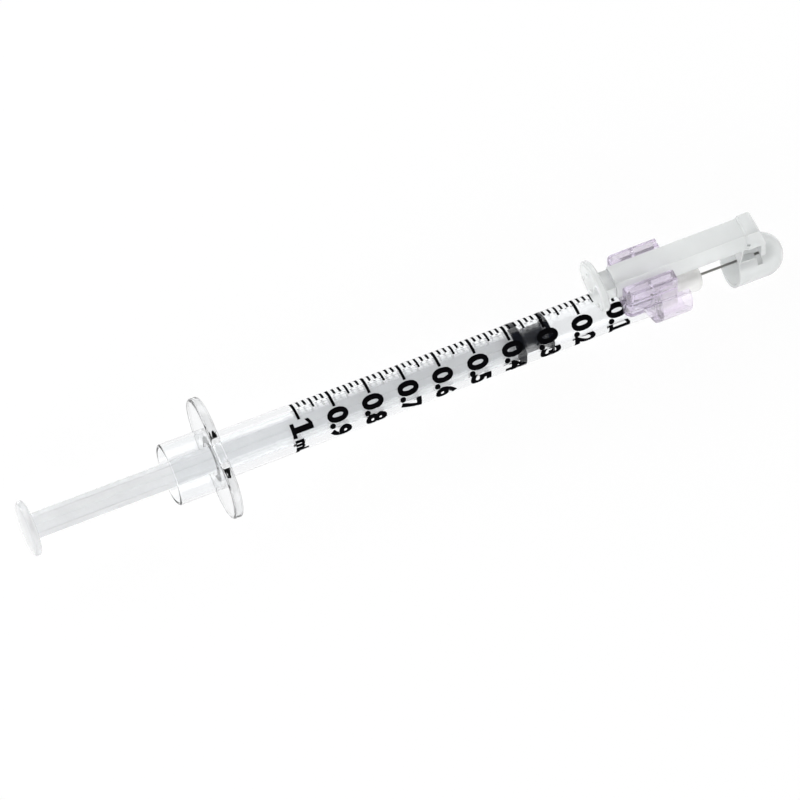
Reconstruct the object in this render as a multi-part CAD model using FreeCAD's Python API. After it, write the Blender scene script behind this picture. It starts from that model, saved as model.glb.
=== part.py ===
"""Safety syringe of 1 mL with a fixed needle and a sliding needle shield.

The syringe lies on its side. +X runs along the bore towards the needle, +Z is up, and the long
axis of the finger flange lies along Y. The origin is on the bore axis at the front face of the
finger flange. The needle guard (collar and shield) is drawn upright, with its arm above the
barrel, and is then rolled about the bore axis by guard_roll. Units are millimetres.
"""
import FreeCAD, Part
import math
import os

# Graduated bore
bore_d = 4.73
scale_start = 12.7
scale_length = 57.0
zero_margin = 0.25
bore_floor = 0.85
outlet_d = 0.9
outlet_cone = 0.5

# Barrel moulding
barrel_rear_d = 7.25
seat_d = 6.6
seat_length = 6.6
nose_d = 2.9
nose_length = 3.4
flange_length = 19.2
flange_width = 12.0
flange_thickness = 1.5
flange_edge = 0.35
sleeve_d = 9.6
sleeve_wall = 0.5
sleeve_length = 6.75
rim_chamfer = 0.15
mouth_chamfer = 0.35

# Plunger rod and stopper
stopper_running_fit = 0.02
rod_running_fit = 0.05
rib_thickness = 1.2
rib_angle = 54.0
thumb_d = 8.7
thumb_thickness = 1.1
thumb_round = 0.45
thumb_reach = 31.1
rod_disc_thickness = 1.0
stopper_length = 6.1
stopper_front_x = 53.5
front_rib = 0.8
rear_rib = 1.5
waist_depth = 0.42
rib_slope = 0.25
stopper_cone = 0.35
spigot_neck_d = 1.5
spigot_head_d = 2.2
spigot_length = 3.6
spigot_head_length = 1.8

# Needle and its hub
hub_base_d = 4.5
hub_front_d = 4.3
hub_length = 7.7
hub_round = 1.1
cannula_d = 0.41
cannula_bore = 0.21
cannula_exposed = 12.0
cannula_gap = 0.3
bevel_angle = 12.0
glue_d = 1.5
glue_depth = 0.9
glue_crown = 0.3

# Needle guard, drawn upright and rolled about the bore axis
guard_roll = -24.0

# Collar
collar_length = 8.3
collar_overhang = 2.2
rail_half_width = 4.15
channel_half_width = 2.33
rail_top = 7.6
deck_top = 4.9
skirt_bottom = 2.0
rail_foot = -1.1
cup_wall = 0.6
cup_clearance = 0.2
belly_run = 3.2
tongue_length = 2.5
tongue_top = 1.8
rail_wall = 0.5
pocket_depth = 1.7
pocket_gusset = 0.45
pocket_end = 0.7
rail_corner = 1.2
rail_edge = 0.2
flute_width = 0.5
flute_depth = 0.25
flute_heights = (5.3, 3.1)

# Shield: arm, finger pad and needle cap in one moulding
slide_clearance = 0.18
deck_clearance = 0.3
arm_wall = 0.6
arm_side = 1.9
arm_shoulder = 1.24
arm_crown = 0.2
arm_top_half_width = 1.72
arm_rear_gap = 0.75
neck_length = 2.1
neck_step = 0.35
neck_drop = 0.7
pad_half_width = 4.5
pad_height = 6.2
pad_thickness = 1.2
pad_edge = 0.3
pad_drop = 1.1
pip_d = 0.8
pip_height = 0.25
pip_edge = 0.15
pips = ((-2.9, -1.0), (0.0, -1.0), (2.9, -1.0), (-1.3, 1.5), (1.3, 1.5))
cap_d = 6.9
cap_wall = 0.38
cap_sag = 0.62
cap_front_gap = 1.7
cap_length = 8.55
cap_mouth_angle = 10.0
arm_end_back = 4.6
arm_end_slope = 0.9
end_collar_length = 2.1
end_collar_rise = 0.25
end_round = 0.5
web_depth = 0.3
mouth_rim = 0.28
window_back = 4.45
window_low = 2.4
window_dip = 0.15
notch_length = 0.8
notch_low = 1.2
needle_slot_d = 1.3
side_hole = 0.5
side_hole_back = 6.85
side_hole_height = 6.1

# Derived stations along the bore axis
bore_r = bore_d / 2
seat_r = seat_d / 2
bore_end_x = scale_start + scale_length + zero_margin
shoulder_x = bore_end_x + bore_floor
seat_start_x = shoulder_x - seat_length
nose_end_x = shoulder_x + nose_length
sleeve_rear_x = -flange_thickness - sleeve_length
thumb_rear_x = -thumb_reach
thumb_front_x = thumb_rear_x + thumb_thickness
stopper_rear_x = stopper_front_x - stopper_length
rod_disc_x = stopper_rear_x - rod_disc_thickness
rod_r = bore_r - rod_running_fit
hub_front_x = shoulder_x + hub_length
needle_tip_x = hub_front_x + cannula_exposed
collar_front_x = shoulder_x + collar_overhang
collar_rear_x = collar_front_x - collar_length
cup_r = cap_d / 2 + cup_clearance
cup_outer_r = cup_r + cup_wall
cup_bottom = -cap_sag - cup_outer_r
cap_r = cap_d / 2
cap_tip_x = needle_tip_x + cap_front_gap
cap_dome_x = cap_tip_x - cap_r
arm_half_width = channel_half_width - slide_clearance
arm_bottom = deck_top + deck_clearance
arm_shoulder_z = arm_bottom + arm_side
arm_corner_z = arm_shoulder_z + arm_shoulder
arm_top_z = arm_corner_z + arm_crown
arm_end_x = cap_tip_x - arm_end_back
pad_front_x = collar_rear_x - arm_rear_gap - neck_length
arm_start_x = pad_front_x + neck_length
pad_centre_z = arm_bottom + pad_height / 2 - pad_drop

AXIS = FreeCAD.Vector(1, 0, 0)
ORIGIN = FreeCAD.Vector(0, 0, 0)
FAR = 40.0
SPARE = 1.0


def turned(profile):
    """Solid turned about the bore axis from (x, radius) corners."""
    corners = [FreeCAD.Vector(x, 0, r) for x, r in profile]
    wire = Part.makePolygon(corners + [corners[0]])
    return Part.Face(wire).revolve(ORIGIN, AXIS, 360)


def rod(radius, x0, x1, y=0.0, z=0.0):
    """Cylinder along X between two stations."""
    return Part.makeCylinder(radius, x1 - x0, FreeCAD.Vector(x0, y, z), AXIS)


def block(x0, x1, y0, y1, z0, z1):
    """Box between two opposite corners."""
    return Part.makeBox(x1 - x0, y1 - y0, z1 - z0, FreeCAD.Vector(x0, y0, z0))


def prism_along_x(section, x0, x1):
    """Prism of a (y, z) section between two stations."""
    corners = [FreeCAD.Vector(x0, y, z) for y, z in section]
    wire = Part.makePolygon(corners + [corners[0]])
    return Part.Face(wire).extrude(FreeCAD.Vector(x1 - x0, 0, 0))


def prism_across(outline, y0, y1):
    """Prism of an (x, z) outline between two lateral places."""
    corners = [FreeCAD.Vector(x, y0, z) for x, z in outline]
    wire = Part.makePolygon(corners + [corners[0]])
    return Part.Face(wire).extrude(FreeCAD.Vector(0, y1 - y0, 0))


def mirrored_pair(shape):
    """The shape and its mirror image across the XZ plane."""
    return shape.fuse(shape.mirror(ORIGIN, FreeCAD.Vector(0, 1, 0)))


def middle(edge):
    """Point at the middle of an edge's parameter range."""
    return edge.valueAt((edge.FirstParameter + edge.LastParameter) / 2)


def rounded_front(x, radius, size):
    """Turned (x, radius) points that round off the front corner of a cylinder in three facets."""
    turns = [math.radians(angle) for angle in (0, 30, 60, 90)]
    return [(x - size + size * math.sin(t), radius - size + size * math.cos(t)) for t in turns]


def rounded_rear(x, radius, size):
    """Turned (x, radius) points that round off the rear corner of a cylinder in three facets."""
    return [(x + (x - corner_x), r) for corner_x, r in reversed(rounded_front(x, radius, size))]


def round_ended(radius, x0, dome_x):
    """Rod along the needle cap's axis with a half-round front end."""
    low = FreeCAD.Vector(x0, 0, -cap_sag)
    rear = FreeCAD.Vector(x0, 0, radius - cap_sag)
    shoulder = FreeCAD.Vector(dome_x, 0, radius - cap_sag)
    slant = radius * math.sqrt(0.5)
    bend = FreeCAD.Vector(dome_x + slant, 0, slant - cap_sag)
    tip = FreeCAD.Vector(dome_x + radius, 0, -cap_sag)
    outline = [
        Part.LineSegment(low, rear).toShape(),
        Part.LineSegment(rear, shoulder).toShape(),
        Part.Arc(shoulder, bend, tip).toShape(),
        Part.LineSegment(tip, low).toShape(),
    ]
    return Part.Face(Part.Wire(outline)).revolve(low, AXIS, 360)


def edges_where(shape, test):
    """Edges whose middle point passes the test."""
    return [edge for edge in shape.Edges if test(middle(edge))]


def finger_flange():
    """Oval plate with two straight sides and bevelled rims."""
    end_r = flange_width / 2
    straight = flange_length / 2 - end_r
    x = -flange_thickness
    left_low = FreeCAD.Vector(x, -straight, -end_r)
    right_low = FreeCAD.Vector(x, straight, -end_r)
    right_tip = FreeCAD.Vector(x, flange_length / 2, 0)
    right_high = FreeCAD.Vector(x, straight, end_r)
    left_high = FreeCAD.Vector(x, -straight, end_r)
    left_tip = FreeCAD.Vector(x, -flange_length / 2, 0)
    edges = [
        Part.LineSegment(left_low, right_low).toShape(),
        Part.Arc(right_low, right_tip, right_high).toShape(),
        Part.LineSegment(right_high, left_high).toShape(),
        Part.Arc(left_high, left_tip, left_low).toShape(),
    ]
    plate = Part.Face(Part.Wire(edges)).extrude(FreeCAD.Vector(flange_thickness, 0, 0))
    rims = edges_where(plate, lambda p: abs(p.x - x) < 1e-6 or abs(p.x) < 1e-6)
    return plate.makeChamfer(flange_edge, rims)


def barrel():
    """Barrel tube, finger flange, rear sleeve and nose as one clear moulding."""
    sleeve_r = sleeve_d / 2
    outer = turned([
        (sleeve_rear_x, 0),
        (sleeve_rear_x, sleeve_r - rim_chamfer),
        (sleeve_rear_x + rim_chamfer, sleeve_r),
        (-flange_thickness, sleeve_r),
        (-flange_thickness / 2, sleeve_r),
        (-flange_thickness / 2, barrel_rear_d / 2),
        (seat_start_x, seat_r),
        (shoulder_x - rim_chamfer, seat_r),
        (shoulder_x, seat_r - rim_chamfer),
        (shoulder_x, nose_d / 2),
        (nose_end_x, nose_d / 2),
        (nose_end_x, 0),
    ])
    hollow = turned([
        (sleeve_rear_x, 0),
        (sleeve_rear_x, sleeve_r - sleeve_wall),
        (-flange_thickness, sleeve_r - sleeve_wall),
        (-flange_thickness, bore_r + mouth_chamfer),
        (-flange_thickness + mouth_chamfer, bore_r),
        (bore_end_x - outlet_cone, bore_r),
        (bore_end_x, bore_r - outlet_cone),
        (bore_end_x, outlet_d / 2),
        (nose_end_x, outlet_d / 2),
        (nose_end_x, 0),
    ])
    return outer.fuse(finger_flange()).cut(hollow)


def spigot_profile():
    """Turned (x, radius) line of the spigot that holds the stopper."""
    neck_end = stopper_rear_x + spigot_length - spigot_head_length
    return [
        (stopper_rear_x, 0),
        (stopper_rear_x, spigot_neck_d / 2),
        (neck_end, spigot_neck_d / 2),
        (neck_end, spigot_head_d / 2),
        (stopper_rear_x + spigot_length, spigot_neck_d / 2),
        (stopper_rear_x + spigot_length, 0),
    ]


def plunger_rod():
    """Thumb disc, cross-ribbed rod, front disc and stopper spigot as one moulding."""
    rear_rim = rounded_rear(thumb_rear_x, thumb_d / 2, thumb_round)
    front_rim = rounded_front(thumb_front_x, thumb_d / 2, thumb_round)
    thumb = turned([(thumb_rear_x, 0)] + rear_rim + front_rim + [(thumb_front_x, 0)])
    half_rib = rib_thickness / 2
    flat_rib = block(thumb_front_x, rod_disc_x, -bore_r, bore_r, -half_rib, half_rib)
    upright_rib = block(thumb_front_x, rod_disc_x, -half_rib, half_rib, -bore_r, bore_r)
    cross = flat_rib.fuse(upright_rib).common(rod(rod_r, thumb_front_x, rod_disc_x))
    cross.rotate(ORIGIN, AXIS, rib_angle)
    front_disc = rod(rod_r, rod_disc_x, stopper_rear_x)
    return thumb.fuse([cross, front_disc, turned(spigot_profile())]).removeSplitter()


def stopper():
    """Rubber stopper with two sealing ribs, a waist and a socket for the spigot."""
    rib_r = bore_r - stopper_running_fit
    waist_r = bore_r - waist_depth
    rear_rib_end = stopper_rear_x + rear_rib
    front_rib_start = stopper_front_x - front_rib
    body = turned([
        (stopper_rear_x, 0),
        (stopper_rear_x, rib_r - rib_slope),
        (stopper_rear_x + rib_slope, rib_r),
        (rear_rib_end - rib_slope, rib_r),
        (rear_rib_end + rib_slope, waist_r),
        (front_rib_start - rib_slope, waist_r),
        (front_rib_start, rib_r),
        (stopper_front_x - rib_slope, rib_r),
        (stopper_front_x, rib_r - rib_slope),
        (stopper_front_x + stopper_cone, 0),
    ])
    return body.cut(turned(spigot_profile()))


def glue_profile():
    """Turned (x, radius) line of the cone of glue in the hub's front."""
    return [
        (hub_front_x - glue_depth, cannula_d / 2),
        (hub_front_x, glue_d / 2),
        (hub_front_x + glue_crown, cannula_d / 2),
    ]


def needle_hub():
    """Hub pushed over the barrel nose, with a rounded front and a hole for the cannula."""
    front_rim = rounded_front(hub_front_x, hub_front_d / 2, hub_round)
    body = turned([(shoulder_x, 0), (shoulder_x, hub_base_d / 2)] + front_rim + [(hub_front_x, 0)])
    socket = rod(nose_d / 2, shoulder_x, nose_end_x)
    pilot = rod(cannula_d / 2, nose_end_x, hub_front_x)
    return body.cut(socket).cut(pilot).cut(turned(glue_profile()))


def cannula():
    """Steel tube with a ground bevel at its tip."""
    start_x = nose_end_x + cannula_gap
    tube = rod(cannula_d / 2, start_x, needle_tip_x).cut(rod(cannula_bore / 2, start_x, needle_tip_x))
    run = cannula_d / math.tan(math.radians(bevel_angle))
    r = cannula_d / 2
    ground_off = prism_across(
        [
            (needle_tip_x - run, r),
            (needle_tip_x, -r),
            (needle_tip_x + run, -r),
            (needle_tip_x + run, cannula_d),
        ],
        -cannula_d,
        cannula_d,
    )
    return tube.cut(ground_off)


def hub_glue():
    """Clear glue that fills the cone round the cannula."""
    return turned(glue_profile())


def collar_pockets():
    """Long pockets cored out of the tops of both rails, each split by a gusset."""
    low = channel_half_width + rail_wall
    high = rail_half_width - rail_wall
    middle_x = (collar_rear_x + collar_front_x) / 2
    floor = rail_top - pocket_depth
    rear = block(collar_rear_x + pocket_end, middle_x - pocket_gusset / 2, low, high, floor, rail_top)
    front = block(middle_x + pocket_gusset / 2, collar_front_x - pocket_end, low, high, floor, rail_top)
    return mirrored_pair(rear.fuse(front))


def collar_flutes():
    """Shallow grooves along the outer side of both rails."""
    half = flute_width / 2
    depth_y = rail_half_width - flute_depth
    cuts = [
        block(collar_rear_x + pocket_end, collar_front_x, depth_y, rail_half_width, z - half, z + half)
        for z in flute_heights
    ]
    return mirrored_pair(cuts[0].fuse(cuts[1:]))


def safety_collar():
    """Tinted collar bonded on the barrel front, with two rails, a cup round the hub and a lip."""
    rails = block(collar_rear_x, collar_front_x, -rail_half_width, rail_half_width, rail_foot, rail_top)
    outer_corners = edges_where(
        rails,
        lambda p: abs(p.x - collar_rear_x) < 1e-6 and abs(abs(p.y) - rail_half_width) < 1e-6,
    )
    rails = rails.makeFillet(rail_corner, outer_corners)
    rim = edges_where(rails, lambda p: abs(p.z - rail_top) < 1e-6)
    rails = rails.makeChamfer(rail_edge, rim)
    rails = rails.cut(collar_pockets()).cut(collar_flutes())
    channel = block(
        collar_rear_x,
        collar_front_x,
        -channel_half_width,
        channel_half_width,
        deck_top,
        rail_top,
    )
    rails = rails.cut(channel)
    cup = rod(cup_outer_r, collar_rear_x, collar_front_x, 0, -cap_sag)
    below = prism_across(
        [
            (collar_rear_x - SPARE, skirt_bottom),
            (shoulder_x - belly_run, skirt_bottom),
            (shoulder_x, cup_bottom),
            (shoulder_x, -FAR),
            (collar_rear_x - SPARE, -FAR),
        ],
        -FAR,
        FAR,
    )
    above = block(collar_rear_x, collar_front_x, -FAR, FAR, tongue_top, FAR)
    body = rails.fuse(cup.cut(above)).cut(below)
    lip = rod(cup_outer_r, collar_front_x, collar_front_x + tongue_length, 0, -cap_sag)
    lip = lip.cut(block(collar_front_x, collar_front_x + tongue_length, -FAR, FAR, tongue_top, FAR))
    body = body.fuse(lip)
    seat = rod(seat_r, collar_rear_x, shoulder_x)
    cup_space = rod(cup_r, shoulder_x, collar_front_x + tongue_length, 0, -cap_sag)
    throat = block(
        shoulder_x,
        collar_front_x,
        -channel_half_width,
        channel_half_width,
        0,
        rail_top,
    )
    body = body.cut(seat).cut(cup_space).cut(throat)
    body.rotate(ORIGIN, AXIS, guard_roll)
    return body


def arm_section(grow):
    """Roofed channel section of the arm as (y, z) corners, grown outwards by an offset."""
    side = arm_half_width + grow
    corner = arm_top_half_width + grow
    right = [
        (side, arm_bottom),
        (side, arm_shoulder_z),
        (corner, arm_corner_z + grow),
    ]
    left = [(-y, z) for y, z in reversed(right)]
    return right + [(0.0, arm_top_z + grow)] + left


def arm_hollow_section():
    """Inner section of the arm's channel, one wall inside the outer section."""
    side = arm_half_width - arm_wall
    corner = arm_top_half_width - arm_wall / 2
    right = [
        (side, arm_bottom - SPARE),
        (side, arm_shoulder_z),
        (corner, arm_corner_z - arm_wall),
    ]
    left = [(-y, z) for y, z in reversed(right)]
    return right + [(0.0, arm_top_z - arm_wall)] + left


def finger_pad():
    """Oval pad across the rear end of the arm, with raised grip pips on its rear face."""
    rear_x = pad_front_x - pad_thickness
    centre = FreeCAD.Vector(rear_x, 0, pad_centre_z)
    side = FreeCAD.Vector(rear_x, pad_half_width, pad_centre_z)
    top = FreeCAD.Vector(rear_x, 0, pad_centre_z + pad_height / 2)
    oval = Part.Face(Part.Wire([Part.Ellipse(side, top, centre).toShape()]))
    plate = oval.extrude(FreeCAD.Vector(pad_thickness, 0, 0))
    rims = edges_where(plate, lambda p: abs(p.x - rear_x) < 1e-6 or abs(p.x - pad_front_x) < 1e-6)
    plate = plate.makeChamfer(pad_edge, [edge for edge in rims if edge.Closed])
    bumps = []
    for y, dz in pips:
        base = FreeCAD.Vector(rear_x, y, pad_centre_z + dz)
        bumps.append(Part.makeCone(pip_d / 2, pip_d / 2 - pip_edge, pip_height, base, -AXIS))
    return plate.fuse(bumps)


def mouth_x_at(z):
    """Station of the needle cap's slanted mouth at a height."""
    return cap_tip_x - cap_length + (z + cap_sag) * math.tan(math.radians(cap_mouth_angle))


def behind_mouth():
    """Everything behind the slanted mouth of the needle cap."""
    return prism_across(
        [
            (mouth_x_at(-FAR), -FAR),
            (mouth_x_at(FAR), FAR),
            (-FAR, FAR),
            (-FAR, -FAR),
        ],
        -FAR,
        FAR,
    )


def cap_window():
    """Opening between the arm and the needle cap, deeper at its front end."""
    front = cap_tip_x - window_back
    notch = front - notch_length
    return prism_across(
        [
            (mouth_x_at(window_low) + mouth_rim, window_low),
            (notch, window_low - window_dip),
            (notch, notch_low),
            (front, notch_low),
            (front, arm_bottom),
            (mouth_x_at(arm_bottom) + mouth_rim, arm_bottom),
        ],
        -FAR,
        FAR,
    )


def arm_solid():
    """Outer form of the arm with its raised front end and sloping end face."""
    end_x = arm_end_x + arm_end_slope
    crest = arm_top_z + end_collar_rise
    arm = prism_along_x(arm_section(0), arm_start_x, end_x)
    raised = prism_along_x(arm_section(end_collar_rise), arm_end_x - end_collar_length, end_x)
    ramp = prism_along_x(
        arm_section(end_collar_rise / 2),
        arm_end_x - end_collar_length - end_collar_rise,
        arm_end_x - end_collar_length,
    )
    past_end = prism_across(
        [
            (arm_end_x - end_round, crest),
            (arm_end_x, crest - end_round),
            (end_x, arm_bottom),
            (end_x + SPARE, arm_bottom),
            (end_x + SPARE, crest + SPARE),
            (arm_end_x - end_round, crest + SPARE),
        ],
        -FAR,
        FAR,
    )
    return arm.fuse([raised, ramp]).cut(past_end)


def safety_shield():
    """Sliding shield: finger pad, neck, channelled arm and windowed needle cap in one moulding."""
    end_x = arm_end_x + arm_end_slope
    neck = block(
        pad_front_x - pad_thickness / 2,
        arm_start_x + arm_wall / 2,
        neck_step - arm_half_width,
        arm_half_width - neck_step,
        arm_bottom,
        arm_corner_z - neck_drop,
    )
    webs = block(
        cap_tip_x - cap_length,
        end_x,
        -arm_half_width,
        arm_half_width,
        -cap_sag,
        arm_bottom + web_depth,
    )
    cap = round_ended(cap_r, cap_tip_x - cap_length - cap_d, cap_dome_x)
    front = cap.fuse(webs).cut(behind_mouth())
    body = arm_solid().fuse([front, neck, finger_pad()])
    channel = prism_along_x(arm_hollow_section(), arm_start_x + arm_wall, arm_end_x - arm_wall)
    space_r = cap_r - cap_wall
    space_front = rounded_front(cap_dome_x + space_r, space_r, space_r)
    space_rear_x = cap_tip_x - cap_length - cap_d
    cap_space = turned([(space_rear_x, 0), (space_rear_x, space_r)] + space_front)
    cap_space.translate(FreeCAD.Vector(0, 0, -cap_sag))
    needle_slot = rod(needle_slot_d / 2, cap_dome_x, cap_tip_x + SPARE)
    hole_x = cap_tip_x - side_hole_back
    hole = block(hole_x, hole_x + side_hole, -cap_d, cap_d, side_hole_height, side_hole_height + side_hole)
    body = body.cut([channel, cap_space, cap_window(), needle_slot, hole])
    body.rotate(ORIGIN, AXIS, guard_roll)
    return body


def save(name, shape):
    """Write one node's STEP file and say what it holds."""
    shape = shape.removeSplitter()
    print(name, "solids", len(shape.Solids), "valid", shape.isValid(), "volume", round(shape.Volume, 3))
    shape.exportStep(f"parts/{name}.step")


os.makedirs("parts", exist_ok=True)
save("barrel", barrel())
save("plunger_rod", plunger_rod())
save("stopper", stopper())
save("needle_hub", needle_hub())
save("cannula", cannula())
save("hub_glue", hub_glue())
save("safety_collar", safety_collar())
save("safety_shield", safety_shield())
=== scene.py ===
"""Looks of a 1 mL safety syringe: clear and milky plastics, rubber, steel and the printed scale."""
import math

import bpy
from mathutils import Matrix, Quaternion, Vector


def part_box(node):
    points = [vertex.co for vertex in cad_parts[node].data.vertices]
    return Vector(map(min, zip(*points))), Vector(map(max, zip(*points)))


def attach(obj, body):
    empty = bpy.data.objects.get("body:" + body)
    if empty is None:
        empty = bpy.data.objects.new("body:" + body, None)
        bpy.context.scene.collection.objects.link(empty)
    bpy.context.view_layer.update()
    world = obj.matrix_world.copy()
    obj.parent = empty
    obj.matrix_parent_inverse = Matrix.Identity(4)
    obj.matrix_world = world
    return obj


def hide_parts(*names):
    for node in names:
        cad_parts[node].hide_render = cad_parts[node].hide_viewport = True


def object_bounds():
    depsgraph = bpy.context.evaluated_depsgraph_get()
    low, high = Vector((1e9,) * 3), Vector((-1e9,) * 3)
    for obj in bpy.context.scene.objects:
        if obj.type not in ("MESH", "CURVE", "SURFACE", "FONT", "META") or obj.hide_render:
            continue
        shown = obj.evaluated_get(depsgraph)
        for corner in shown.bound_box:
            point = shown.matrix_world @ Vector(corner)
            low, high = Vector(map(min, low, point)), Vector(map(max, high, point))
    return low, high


bl_info = {
    "name": "Safety Syringe Looks",
    "version": (1, 0, 0),
    "blender": (4, 5, 0),
    "location": "View3D > Sidebar > Syringe",
    "description": "Models and finishes a 1 mL safety syringe around its engineering frame",
    "category": "Object",
}

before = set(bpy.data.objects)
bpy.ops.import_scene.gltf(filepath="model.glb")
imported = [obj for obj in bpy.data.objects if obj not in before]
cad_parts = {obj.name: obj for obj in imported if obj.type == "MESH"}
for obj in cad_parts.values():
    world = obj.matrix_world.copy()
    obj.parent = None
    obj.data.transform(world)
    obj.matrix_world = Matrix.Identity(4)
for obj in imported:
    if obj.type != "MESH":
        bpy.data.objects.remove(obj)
CAD_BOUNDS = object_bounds()

MM = 0.001
FULL_TURN = 2 * math.pi
ROUND_SIDES = 96
SMOOTH_ANGLE = math.radians(30)

# Stations along the bore, in millimetres ahead of the finger flange's front face
SLEEVE_REAR = -8.25
FLANGE_REAR = -1.5
SEAT = 64.2
SHOULDER = 70.8
NOSE_END = 74.2
CANNULA_REAR = 74.5
HUB_FRONT = 78.5
NEEDLE_TIP = 90.5
THUMB_REAR = -31.1
THUMB_FRONT = -30.0
ROD_DISC = 46.4
STOPPER_REAR = 47.4
SOCKET_NECK = 49.2
SOCKET_END = 51.0
BORE_END = 69.95
SCALE_FULL = 12.5
SCALE_ZERO = 69.5

# Radii in millimetres
BORE = 2.365
BARREL_REAR = 3.625
BARREL_SEAT = 3.3
SLEEVE_OUT = 4.8
SLEEVE_IN = 4.3
NOSE = 1.45
OUTLET = 0.45
CANNULA = 0.205
CANNULA_BORE = 0.105
SPIGOT = 0.75
SPIGOT_HEAD = 1.1
HUB_REAR = 2.25
HUB_DOME = 2.15

# The stopper's waist lies this far inside the bore's wall, in millimetres. Its ribs are pressed
# into the wall a little, so that no air shows between rubber and plastic, and whatever lies
# closer to the wall than the wet edge is wetted by it.
WAIST_DEPTH = 0.42
RIB_PRESS = 0.01
WET_EDGE = 0.03

# A print is drawn flat for the barrel's middle radius and cut into strips this wide, so that it
# bends smoothly. It starts a hair above the wall. All three are in metres.
PRINT_RADIUS = (BARREL_REAR + BARREL_SEAT) / 2 * MM
PRINT_STRIP = 0.25 * MM
PRINT_GAP = 0.003 * MM

# The printed letters are this much wider than the font's, and this much closer together
WORD_WIDENING = 1.02
LETTER_SPACING = 0.97

# The upper outline of the barrel, as the camera sees it, lies this far round from +Y towards +Z
OUTLINE_TURN = math.radians(9.0)

# The guard is turned about the bore, from upright
GUARD_ROLL = math.radians(-24.0)

# The plunger's cross of ribs is turned about the bore, from upright
ROD_TURN = math.radians(54.0)

# The cannula's tip is ground off at this angle to its length
GRIND_ANGLE = math.radians(12.0)

# Lines of the scale to a tenth of a millilitre, the numbered one among them
LINES_A_TENTH = 6

# Share of plain white in the paper, so that the object's shadow is faint but there
PAPER_WHITE = 0.9


def linear(hex_colour):
    """Linear RGB of an sRGB hex colour such as C0FFEE."""
    channels = [int(hex_colour[i:i + 2], 16) / 255 for i in (0, 2, 4)]
    return tuple(c / 12.92 if c <= 0.04045 else ((c + 0.055) / 1.055) ** 2.4 for c in channels)


def only(obj):
    """Leave one object selected and active."""
    bpy.ops.object.select_all(action="DESELECT")
    obj.select_set(True)
    bpy.context.view_layer.objects.active = obj


def apply_modifier(obj, kind, **settings):
    """Add a modifier, set it and apply it."""
    only(obj)
    bpy.ops.object.modifier_add(type=kind)
    modifier = obj.modifiers[-1]
    for key, value in settings.items():
        setattr(modifier, key, value)
    bpy.ops.object.modifier_apply(modifier=modifier.name)


def fused(obj, *others):
    """Join closed bodies into one closed body."""
    for other in others:
        apply_modifier(obj, "BOOLEAN", operation="UNION", solver="EXACT", object=other)
        bpy.data.objects.remove(other)
    return obj


def arc(x, r, size, start_deg, end_deg, steps=6):
    """Points of a rounded corner in the (x, radius) plane, in millimetres."""
    turns = [math.radians(start_deg + (end_deg - start_deg) * i / steps) for i in range(steps + 1)]
    return [(x + size * math.cos(t), r + size * math.sin(t)) for t in turns]


def lathe(name, profile, closed=False, sides=ROUND_SIDES):
    """Spin a line of (x, radius) points about the bore axis."""
    bpy.ops.object.select_all(action="DESELECT")
    x, r = profile[0]
    bpy.ops.mesh.primitive_plane_add(size=MM, location=(0, 0, 0))
    obj = bpy.context.object
    obj.name = name
    bpy.ops.object.mode_set(mode="EDIT")
    bpy.ops.mesh.select_mode(type="VERT")
    bpy.ops.mesh.select_all(action="SELECT")
    bpy.ops.mesh.merge(type="CENTER")
    bpy.ops.transform.translate(value=(x * MM, 0, r * MM))
    for next_x, next_r in profile[1:] + (profile[:1] if closed else []):
        step = ((next_x - x) * MM, 0, (next_r - r) * MM)
        bpy.ops.mesh.extrude_vertices_move(TRANSFORM_OT_translate={"value": step})
        x, r = next_x, next_r
    bpy.ops.mesh.select_all(action="SELECT")
    bpy.ops.mesh.spin(steps=sides, angle=FULL_TURN, center=(0, 0, 0), axis=(1, 0, 0))
    bpy.ops.mesh.select_all(action="SELECT")
    bpy.ops.mesh.remove_doubles(threshold=0.0002 * MM)
    bpy.ops.mesh.normals_make_consistent(inside=False)
    bpy.ops.object.mode_set(mode="OBJECT")
    return obj


def pick(obj, kind, test):
    """Select the points, edges or faces that pass a test, and leave the piece in edit mode.

    A point is tested by its place, an edge by the places of its ends and a face by its normal.
    """
    only(obj)
    mesh = obj.data
    bpy.ops.object.mode_set(mode="EDIT")
    bpy.ops.mesh.select_mode(type=kind)
    bpy.ops.mesh.select_all(action="DESELECT")
    bpy.ops.object.mode_set(mode="OBJECT")
    if kind == "VERT":
        for vertex in mesh.vertices:
            vertex.select = test(vertex.co)
    elif kind == "EDGE":
        for edge in mesh.edges:
            edge.select = test(*(mesh.vertices[i].co for i in edge.vertices))
    else:
        for face in mesh.polygons:
            face.select = test(face.normal)
    bpy.ops.object.mode_set(mode="EDIT")


def shift_points(obj, test, step):
    """Move the points that pass a test."""
    pick(obj, "VERT", test)
    bpy.ops.transform.translate(value=step)
    bpy.ops.object.mode_set(mode="OBJECT")


def span(obj, axis):
    """Lowest and highest place of a mesh along an axis."""
    places = [vertex.co[axis] for vertex in obj.data.vertices]
    return min(places), max(places)


def apply_place(obj):
    """Make an object's move, turn and size part of its mesh."""
    only(obj)
    bpy.ops.object.transform_apply(location=True, rotation=True, scale=True)


def smooth(obj):
    """Shade a piece smooth, apart from its sharp corners, and keep its flat faces flat."""
    only(obj)
    bpy.ops.object.shade_smooth_by_angle(angle=SMOOTH_ANGLE)
    apply_modifier(obj, "WEIGHTED_NORMAL", keep_sharp=True)


def finish_piece(obj, body, material, stands_for=(), casts_shadow=True):
    """Give a finished piece its shading, material and body, and hide the nodes it stands for."""
    smooth(obj)
    obj.data.materials.clear()
    obj.data.materials.append(material)
    obj.visible_shadow = casts_shadow
    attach(obj, body)
    if stands_for:
        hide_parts(*stands_for)


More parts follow.
